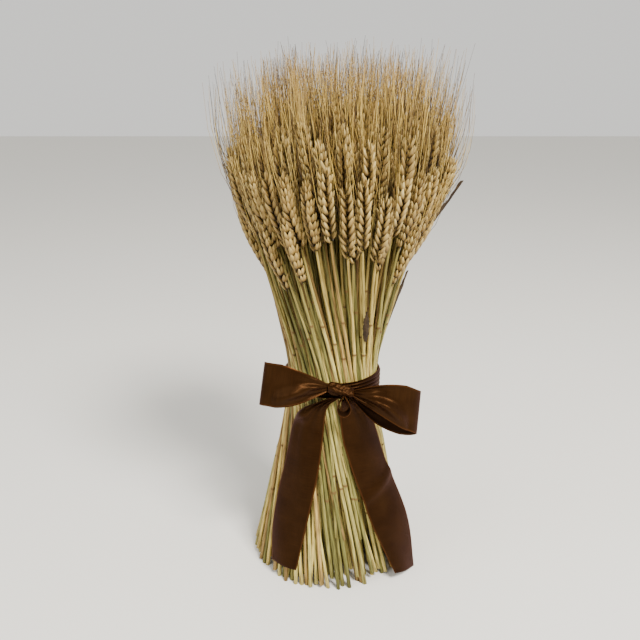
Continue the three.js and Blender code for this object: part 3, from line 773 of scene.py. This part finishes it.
heart = ring_stalks(HEART_RINGS, 0, BUNCHES * BUNCH_STALKS)
heart["head_base"] += HEAD_BASE_JITTER * (2 * chance(heart["number"], 1) - 1)
heart["spin"] = HEAD_SPIN * (2 * chance(heart["number"], 3) - 1)
filler_shares = [(foot - waist) / (FOOT_RADIUS - WAIST_RADIUS) for _, waist, foot in FILLER_RINGS]
filler = ring_stalks(
    [(count, waist, FILLER_HEAD_PART * share, 0, share)
     for (count, waist, _), share in zip(FILLER_RINGS, filler_shares)],
    FILLER_RING_TURN, FIRST_FILLER_NUMBER)
filler["head_base"] = between(FILLER_TOPS, filler["number"], 1)
filler["foot_z"] = maximum(0, between(FILLER_FOOT_RISE, filler["number"], 4))
heart_parts = stalk_parts(heart)
heart_parts.insert(1, (0, straws(filler)))
heart_piece = put_mesh("fine_wheat_heart", heart_parts, wheat_finishes)
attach(heart_piece, "root")
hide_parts("wheat_heart")

# Ribbon band: dark brown satin ribbon 38 mm wide, drawn round the waist in pleats; it is pulled
# together most in front, under the knot. All of the bow is this one ribbon, in its pieces.
RIBBON_WIDTH, RIBBON_THICKNESS = 38.0, 0.3
BAND_RADIUS = 41.9
BAND_TOP, BAND_BOTTOM_FRONT, BAND_BOTTOM_SIDE = 185.5, 171.5, 165.0
BAND_STEPS, BAND_COLUMNS = 160, 41
BAND_PLEATS, BAND_PLEAT_DEPTH = 5, 1.1
BAND_DRIFT, BAND_SMALL_DRIFT = 0.9, 0.7
BAND_RIPPLE, BAND_RIPPLES = 0.0375, 23
BAND_SAG, BAND_SINK = 0.5, 0.2
WOVEN_EDGE = (0.455, 0.475)
RIBS_TO_A_WIDTH = 34.0


def satin_finish(name, roughness, specular, metallic, dark, light):
    """Brown satin: a soft broad gleam, fine ribs across the ribbon and a firm woven edge."""
    finish, tree, shader = finish_of(name, roughness, specular)
    shader.inputs["Metallic"].default_value = metallic
    shader.inputs["Specular Tint"].default_value = shade(216, 166, 122)
    shader.inputs["Anisotropic"].default_value = 0.5
    weave = add(tree, "ShaderNodeTangent", direction_type="UV_MAP", uv_map="cloth")
    tree.links.new(weave.outputs["Tangent"], shader.inputs["Tangent"])
    place = add(tree, "ShaderNodeUVMap", uv_map="cloth").outputs["UV"]
    fine = add(tree, "ShaderNodeMapping", {"Vector": place, "Scale": (2.0, 90.0, 1.0)})
    slub = noise(tree, fine.outputs[0], 1.0, 3.0)
    blotch = noise(tree, object_place(tree), 60.0, 2.0)
    colour = ramp(tree, slub, [(0.3, dark), (0.7, light)])
    cloud = ramp(tree, blotch, [(0.3, (214, 206, 200)), (0.7, (255, 255, 255))])
    colour = mixed(tree, 1.0, colour, cloud, "MULTIPLY")
    across = add(tree, "ShaderNodeSeparateXYZ", {0: place}).outputs["X"]
    away = add(tree, "ShaderNodeMath", {0: across, 1: 0.5}, operation="SUBTRACT")
    away = add(tree, "ShaderNodeMath", {0: away.outputs[0]}, operation="ABSOLUTE")
    edge = grown(tree, away.outputs[0], *WOVEN_EDGE)
    colour = mixed(tree, edge, colour, shade(60, 34, 14))
    ribs = add(tree, "ShaderNodeTexWave",
               {"Vector": place, "Scale": RIBS_TO_A_WIDTH, "Distortion": 0.4, "Detail": 1.0},
               wave_type="BANDS", bands_direction="Y")
    relief = add(tree, "ShaderNodeMath", {0: edge, 1: ribs.outputs["Fac"]}, operation="MAXIMUM")
    dress(tree, shader, colour, relief.outputs[0], 0.22, 0.0002)
    return finish


satin = satin_finish("brown_satin", 0.28, 0.16, 0.5, (36, 20, 7), (46, 27, 11))
# Painted shade: the back is dull satin whose darker colours stand for the shade inside the loops and under
# the ribbon
shaded_satin_back = satin_finish("dull_satin_painted_shade_back", 0.7, 0.05, 0.0, (24, 13, 6), (32, 18, 8))


def cloth(name, node, points, endless, finishes=(satin, shaded_satin_back),
          thickness=RIBBON_THICKNESS):
    """A thin sheet from a grid of points, rows along it and columns across, in sheaf millimetres.

    Its UV map goes from 0 to 1 across and along in ribbon widths. Solidify makes it a closed skin,
    whose back has the second finish if there is one; columns and rows turn the front outwards.
    """
    rows, columns = points.shape[:2]
    flow = points - BOX_CENTRE
    steps = np.linalg.norm(np.diff(flow[:, columns // 2], axis=0), axis=1)
    along = concatenate([[0], np.cumsum(steps)]) / RIBBON_WIDTH
    span = arange(rows if endless else rows - 1)[:, None]
    side = arange(columns - 1)[None]
    after = (span + 1) % rows
    quads = stack([span * columns + side, span * columns + side + 1,
                      after * columns + side + 1, after * columns + side], axis=-1).reshape(-1, 4)
    mesh = mesh_of(name, flow.reshape(-1, 3), quads.ravel(), np.full(len(quads), 4), finishes)
    across_uv = stack([side, side + 1, side + 1, side], axis=-1) / (columns - 1) + 0 * span[..., None]
    far = np.append(along, along[-1] + steps.mean() / RIBBON_WIDTH)
    along_uv = stack([far[span], far[span], far[span + 1], far[span + 1]], axis=-1) + 0 * side[..., None]
    layer = mesh.uv_layers.new(name="cloth")
    layer.data.foreach_set("uv", stack([across_uv, along_uv], axis=-1).astype(np.float32).ravel())
    piece = placed(name, mesh)
    thick = piece.modifiers.new("thickness", "SOLIDIFY")
    thick.thickness = thickness * MM
    thick.offset = 0
    thick.material_offset = len(finishes) - 1
    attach(piece, "root")
    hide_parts(node)


def bow_point(degrees, radius, z):
    """A point round the leaning axis: 0 degrees faces the viewer and angles run to the right."""
    point = polar(radius, radians(degrees - 90), z)
    point[..., 0] += LEAN * point[..., 2]
    return point


def band_points():
    """The band: height runs across it, and its radius waves in and out in pleats that drift.

    The lower edge rises towards the knot by the square of a sine, as the ribbon is gathered.
    """
    degrees = linspace(0, 360, BAND_STEPS, endpoint=False)[:, None]
    turn = radians(degrees)
    v = linspace(0, 1, BAND_COLUMNS)[None]
    opened = minimum(1, 2 * sin(turn / 2) ** 2)
    bottom = BAND_BOTTOM_FRONT + (BAND_BOTTOM_SIDE - BAND_BOTTOM_FRONT) * opened
    drift = BAND_DRIFT * sin(turn * 2 + 1) + BAND_SMALL_DRIFT * sin(turn * 5)
    wave = sin(2 * pi * BAND_PLEATS * v + drift)
    ripple = BAND_RIPPLE * sin(turn * BAND_RIPPLES + 4 * v)
    radius = BAND_RADIUS + BAND_PLEAT_DEPTH * wave * (1 + ripple)
    sag = BAND_SAG * sin(turn * 3) * (1 - opened / 2)
    z = bottom + (BAND_TOP - bottom) * v + sag * (v - 0.5) - BAND_SINK
    return bow_point(degrees, radius, z)


cloth("satin_band", "ribbon_band", band_points()[:, ::-1], True)

# Knot: the ribbon's own turn round the middle of the bow, pulled tight, so it is a short
# crumpled roll whose ends turn in round the roots of the loops.
KNOT_CENTRE = array([8.7, -47.6, 181.2])
KNOT_HALF_LENGTH, KNOT_HALF_DEPTH, KNOT_HALF_HEIGHT = 11.0, 5.9, 5.6
KNOT_SLOPE = 0.26
KNOT_STEPS, KNOT_COLUMNS = 64, 73
KNOT_END, KNOT_MIDDLE = 0.5, 0.9
KNOT_FOLD, KNOT_FOLD_BEND = 0.12, 0.9
KNOT_CROSS_FOLD, KNOT_CROSS_FOLDS, KNOT_WANDER, KNOT_SMALL_WANDER = 0.03, 1.9, 0.25, 0.15
KNOT_LIP = 0.03


def knot_points():
    """The roll: an oval round the bow's middle, with folds along it and others that cross them.

    Rows go round the roll and columns along it. The radius falls off near the ends as the square
    root of one less the fourth power of the way out, and the ends turn in to half of it.
    """
    turn = radians(linspace(0, 360, KNOT_STEPS, endpoint=False))[:, None]
    along = linspace(-1, 1, KNOT_COLUMNS)[None]
    body = KNOT_END + (1 - KNOT_END) * np.sqrt(clip(1 - along ** 4, 0, 1))
    wander = KNOT_WANDER * sin(2 * turn + 1.0) + KNOT_SMALL_WANDER * sin(3 * turn)
    bend = KNOT_FOLD_BEND * sin(2.4 * along + 0.5)
    folds = (KNOT_FOLD * sin(4 * turn + bend + 1.2)
             + KNOT_CROSS_FOLD * sin(2 * pi * (KNOT_CROSS_FOLDS * along + wander))
             + 0.02 * sin(7 * turn - 5 * along))
    size = body * (KNOT_MIDDLE + folds)
    x = KNOT_HALF_LENGTH * along * (1 - KNOT_LIP + KNOT_LIP * cos(turn))
    y = -KNOT_HALF_DEPTH * size * cos(turn)
    z = KNOT_HALF_HEIGHT * size * sin(turn) - KNOT_SLOPE * x
    return stack([x, y, z], axis=-1) + KNOT_CENTRE


cloth("satin_knot", "ribbon_knot", knot_points(), True)

# Bow loops: each is a length of the ribbon that leaves the knot in front, bends round at its end
# and comes back behind; pleats at the knot open out to the full width.
LOOP_ROOT_WIDTH, LOOP_ROOT_REACH, LOOP_ROOT_PUSH = 6.0, 0.125, 0.15
LOOP_STEPS, LOOP_COLUMNS = 100, 37
LOOP_PLEATS = 3.5
LOOP_WAVE, LOOP_WAVES_ACROSS, LOOP_WAVES_ALONG = 0.35, 1.5, 1.2
RIDGE_FROM, RIDGE_TOP, RIDGE_DROP, RIDGE_WIDTH = 0.6, 0.34, 0.5, 0.17
PATH_PARTS = 24
LEFT_LOOP = [[-1.7, -46.3, 182.6], [-28, -45.4, 181.0], [-53, -45.4, 185.4], [-57.5, -49, 188.4],
             [-52, -53.5, 189], [-28, -56, 187], [-1.7, -48.9, 184]]
RIGHT_LOOP = [[18.7, -46.3, 175.0], [40, -45.4, 163.0], [65, -43.5, 157.4], [75, -47, 160.0],
              [70.5, -52.5, 164.6], [59, -55.5, 170.3], [41, -56, 176.5], [18.7, -48.9, 178.6]]


def smooth_path(stations, count):
    """Evenly spaced points on a Catmull-Rom curve through the stations, with straight ends."""
    stations = array(stations, float)
    padded = concatenate([[2 * stations[0] - stations[1]], stations, [2 * stations[-1] - stations[-2]]])
    t = linspace(0, 1, PATH_PARTS, endpoint=False)[None, :, None]
    a, b, c, d = (padded[start:start + len(stations) - 1, None] for start in range(4))
    curve = 0.5 * (2 * b + (c - a) * t + (2 * a - 5 * b + 4 * c - d) * t ** 2
                   + (3 * b - a - 3 * c + d) * t ** 3)
    curve = concatenate([curve.reshape(-1, stations.shape[1]), stations[-1:]])
    length = concatenate([[0], np.cumsum(np.linalg.norm(np.diff(curve[:, :3], axis=0), axis=1))])
    even = linspace(0, length[-1], count)
    return stack([np.interp(even, length, column) for column in curve.T], axis=-1)


def loop_points(stations, up, pleat_depth, billow, ridge):
    """A strip on a path from the knot's back to its front, gathered at both ends and full between.

    It is pushed off the path, square to its face, by pleats that fade out from the roots, by a
    low billow whose height follows two sines, and by a rounded ridge of bell-shaped section that
    runs along the later half of the strip from its upper part to its lower part.
    """
    path = smooth_path(stations, LOOP_STEPS)
    travel = unit(np.gradient(path, axis=0))
    s = linspace(0, 1, len(path))[:, None]
    wide = unit(array(up) + 0 * travel)
    face = unit(np.cross(travel, wide))
    v = linspace(-0.5, 0.5, LOOP_COLUMNS)[None]
    opened = minimum(1, 1.1 * sin(pi * s)) ** 0.95
    width = LOOP_ROOT_WIDTH + (RIBBON_WIDTH - LOOP_ROOT_WIDTH) * opened
    pleats = pleat_depth * (1 - opened) ** 1.4 * sin(2 * pi * LOOP_PLEATS * v)
    waves = (LOOP_WAVE * sin(2 * pi * (LOOP_WAVES_ACROSS * v + LOOP_WAVES_ALONG * s))
             * (1 - sin(pi * s) ** 8))
    free = minimum(1, minimum(s, 1 - s) / LOOP_ROOT_REACH)
    round_form = billow * sin(pi * s) ** 2 * cos(pi * v) * sin(2 * pi * s)
    later = clip((s - RIDGE_FROM) / (1 - RIDGE_FROM), 0, 1)
    section = exp(-((v + RIDGE_TOP - RIDGE_DROP * later) / RIDGE_WIDTH) ** 2)
    crest = ridge * sin(pi * later ** 0.7) ** 1.2 * section
    push = (pleats + waves) * (LOOP_ROOT_PUSH + (1 - LOOP_ROOT_PUSH) * free) + round_form + crest
    return path[:, None] + wide[:, None] * (width * v)[..., None] + face[:, None] * push[..., None]


left_loop = loop_points(LEFT_LOOP, [0.14, 0.08, 1], pleat_depth=1.2, billow=1.2, ridge=5.0)
cloth("satin_loop_left", "ribbon_loop_left", left_loop[:, ::-1], False)
right_loop = loop_points(RIGHT_LOOP, [0.07, 0.12, 1], pleat_depth=1.9, billow=-1.2, ridge=-6.5)
cloth("satin_loop_right", "ribbon_loop_right", right_loop, False)

# Small loop: the ribbon's turned-over edge makes a short loop that hangs in front of the knot's
# lower edge; only this narrow part of its width stands out.
SMALL_LOOP = [[10.5, -52.0, 176.8], [7.4, -55, 172.4], [6.6, -56.2, 168.6], [8.1, -57, 165.4],
              [11.0, -57.2, 164.0], [13.9, -57, 165.4], [15.5, -56.2, 168.6], [14.7, -55, 172.4],
              [12.0, -52.0, 176.8]]
SMALL_LOOP_WIDTH = 8.5
SMALL_LOOP_STEPS, SMALL_LOOP_COLUMNS = 60, 13
SMALL_LOOP_CUP, SMALL_LOOP_LIP, SMALL_LOOP_LIP_FROM = 0.6, 1.3, 0.28


def small_loop_points():
    """A narrow strip on a drop-shaped path; its width runs front to back and its lip turns out."""
    path = smooth_path(SMALL_LOOP, SMALL_LOOP_STEPS)
    travel = unit(np.gradient(path, axis=0))
    front = array([0, -1, 0])
    wide = unit(front - travel * (travel @ front)[:, None])
    face = np.cross(travel, wide)
    v = linspace(-0.5, 0.5, SMALL_LOOP_COLUMNS)[None]
    lip = clip((v - SMALL_LOOP_LIP_FROM) / (0.5 - SMALL_LOOP_LIP_FROM), 0, 1) ** 2
    cup = SMALL_LOOP_CUP * cos(pi * v) + SMALL_LOOP_LIP * lip
    return (path[:, None] + wide[:, None] * (SMALL_LOOP_WIDTH * v)[..., None]
            + face[:, None] * cup[..., None])


cloth("satin_small_loop", "ribbon_small_loop", small_loop_points()[:, ::-1], False)

# Tails: the ribbon's two ends hang down on the straws, pleated under the knot and flat below;
# the right one turns to the side and its end stands off.
LEFT_TAIL = [[1.4, 175, 5.4, 8], [-13, 167, 3.6, 14], [-23.5, 157, 2.2, 24], [-29, 140, 0.6, 32],
             [-32, 107, 0, 36], [-35, 80, 0, 38], [-37, 45, 0, 36], [-36, 15, 0, 28]]
RIGHT_TAIL = [[13.2, 173, 6.2, 8], [25, 158, 1.8, 27], [34, 130, 0, 38], [40, 105, 0, 38],
              [46, 80, 0, 38], [49.5, 55, 2.5, 38], [52.5, 30, 6, 35], [53.4, 5, 10.5, 29]]
TAIL_LIFT = 2.2
TAIL_STEPS, TAIL_COLUMNS = 120, 33
TAIL_PLEATS, TAIL_PLEAT_DEPTH = 3, 3.2
TAIL_PLEATS_END, TAIL_PLEATS_FADE = 95, 30
TAIL_WAVE, TAIL_WAVE_PITCH = 0.45, 17
CREASE_HEIGHT, CREASE_SLANT, CREASE_WIDTH = 86, 20, 5.0
CORNER_HEIGHT, CORNER_REACH, CORNER_PLACE, CORNER_WIDTH = 156, 7, -0.24, 0.22
STAND_HEIGHT, STAND_REACH = 55, 48
CUT_REACH = 45


def tail_points(stations, phase, crease=0.0, curl=0.0, cut=0.0, flare=0.0):
    """A strip on the cone of straws: each station has a compass angle, height, lift and width.

    Pleats along it fade as it widens and low waves across it never press in. A slanting crease
    and a curl at the upper left corner are bell-shaped, the right edge stands off in proportion
    to the way across, by a bell along the tail, and the end is cut on a slant.
    """
    path = smooth_path(stations, TAIL_STEPS)
    degrees, z, lift, width = (path[:, k, None] for k in range(4))
    v = linspace(-0.5, 0.5, TAIL_COLUMNS)[None]
    upper = clip((z - TAIL_PLEATS_END) / TAIL_PLEATS_FADE, 0, 1)
    gathered = clip(1 - width / RIBBON_WIDTH, 0, 1) * upper
    radius = sheaf_radius(z) + TAIL_LIFT + maximum(lift, 0)
    pleat = (1 + sin(2 * pi * TAIL_PLEATS * v + 0.02 * z)) / 2
    low_wave = 1 + sin(z / TAIL_WAVE_PITCH + 5 * v + phase)
    low_wave = TAIL_WAVE * low_wave * cos(pi * v * 0.6)
    ridge = crease * exp(-((z - CREASE_HEIGHT - CREASE_SLANT * v) / CREASE_WIDTH) ** 2)
    corner = curl * exp(-((v - CORNER_PLACE) / CORNER_WIDTH) ** 2
                           - ((z - CORNER_HEIGHT) / CORNER_REACH) ** 2)
    stand = flare * (v + 0.5) * exp(-((z - STAND_HEIGHT) / STAND_REACH) ** 2)
    push = TAIL_PLEAT_DEPTH * gathered * pleat + low_wave * (1 - gathered) + ridge + corner + stand
    turn = np.degrees(minimum(width, RIBBON_WIDTH) * v / radius)
    end = clip(1 - z / CUT_REACH, 0, 1) ** 2
    return bow_point(degrees + turn, radius + push, z - cut * v * end)


left_tail = tail_points(LEFT_TAIL, phase=0.4, curl=5.0)
cloth("satin_tail_left", "ribbon_tail_left", left_tail[:, ::-1], False)
right_tail = tail_points(RIGHT_TAIL, phase=2.1, crease=1.2, cut=10.0, flare=9.0)
cloth("satin_tail_right", "ribbon_tail_right", right_tail[:, ::-1], False)

# Dry leaves: three blades left on their straws, thin and papery, curled along their length and
# crinkled; each has dried grey brown on the straw that it grew from.
LEAF_THICKNESS = 0.35
LEAF_LIFT = 2.4
LEAF_STEPS, LEAF_COLUMNS = 70, 13
LEAF_ROOT_WIDTH, LEAF_ROOT_GROWTH = 0.35, 5
LEAF_TIP_WIDTH, LEAF_TIP_TAPER = 0.12, 4
LEAF_ARC = 0.25
LEAF_RIPPLE, LEAF_RIPPLE_PACE, LEAF_SMALL_RIPPLE, LEAF_SMALL_PACE = 1.0, 26, 0.7, 61


def leaf_finish():
    """Dead leaf: grey brown with paler veins along it and a papery, uneven surface."""
    finish, tree, shader = finish_of("dead_leaf", 0.75, 0.2)
    place = add(tree, "ShaderNodeUVMap", uv_map="cloth").outputs["UV"]
    fine = add(tree, "ShaderNodeMapping", {"Vector": place, "Scale": (16.0, 1.2, 1.0)})
    veins = noise(tree, fine.outputs[0], 1.0, 4.0)
    blotch = noise(tree, object_place(tree), 120.0, 3.0)
    colour = ramp(tree, veins, [(0.35, (40, 31, 22)), (0.65, (84, 68, 46))])
    cloud = ramp(tree, blotch, [(0.35, (160, 142, 120)), (0.65, (255, 248, 234))])
    colour = mixed(tree, 1.0, colour, cloud, "MULTIPLY")
    dress(tree, shader, colour, veins, 0.4, 0.0005)
    return finish


dead_leaf = leaf_finish()


def leaf_points(bunch, slot, stations, curl, turned):
    """A blade along its own stalk: its width lies round the sheaf and its section is an arc.

    The edges ripple by two sines along the blade, the blade turns about its own length in
    proportion to it, is narrow where it leaves the stalk, and the tip narrows to a point.
    """
    table = smooth_path(stations, LEAF_STEPS)
    z, lift, width = table[:, 0], table[:, 1], table[:, 2]
    stalk = {name: values[slot:slot + 1] for name, values in frame_stalks(bunch).items()}
    centres = stalk_centres(stalk, z[None])[0]
    angle = np.arctan2(centres[:, 1], centres[:, 0])
    s = linspace(0, 1, len(z))[:, None]
    v = linspace(-0.5, 0.5, LEAF_COLUMNS)[None]
    tip = minimum(1, LEAF_TIP_TAPER * (1 - s) + LEAF_TIP_WIDTH)
    narrow = minimum(tip, LEAF_ROOT_WIDTH + LEAF_ROOT_GROWTH * s)
    arc = curl * cos(pi * v) * width[:, None] * LEAF_ARC
    ripple = np.abs(v) * (LEAF_RIPPLE * sin(LEAF_RIPPLE_PACE * s + 3 * v)
                          + LEAF_SMALL_RIPPLE * sin(LEAF_SMALL_PACE * s + 9 * v))
    push = LEAF_LIFT + lift[:, None] + arc + ripple * minimum(1, lift[:, None])
    outward = polar(1, angle, 0)[:, None]
    turn = radians(turned) * s[..., None]
    sideways = polar(1, angle + pi / 2, 0)[:, None] * cos(turn) + outward * sin(turn)
    flat = (centres[:, None] + outward * push[..., None]
            + sideways * (width[:, None] * narrow * v)[..., None])
    return settle(flat) + BOX_CENTRE


# Each leaf: its bunch and stalk, its stations (height, lift and width), its curl and its turn
LEAVES = {
    "dry_leaf_right": (
        1, 4, [[262, 0.05, 4], [290, 2, 5], [312, 8, 5], [336, 14, 6], [350, 17, 7]], 1.0, 50),
    "dry_leaf_side": (0, 4, [[205, 0.2, 4], [228, 0.3, 7], [250, 0.4, 8], [276, 0.6, 5]], 0.5, 35),
    "dry_leaf_front": (15, 4, [[222, 0.2, 4], [236, 1.2, 6], [252, 2.4, 3]], 0.6, 0),
}
for node, (bunch, slot, stations, curl, turned) in LEAVES.items():
    cloth(f"crinkled_{node}", node, leaf_points(bunch, slot, stations, curl, turned), False,
          finishes=[dead_leaf], thickness=LEAF_THICKNESS)

bpy.context.view_layer.update()
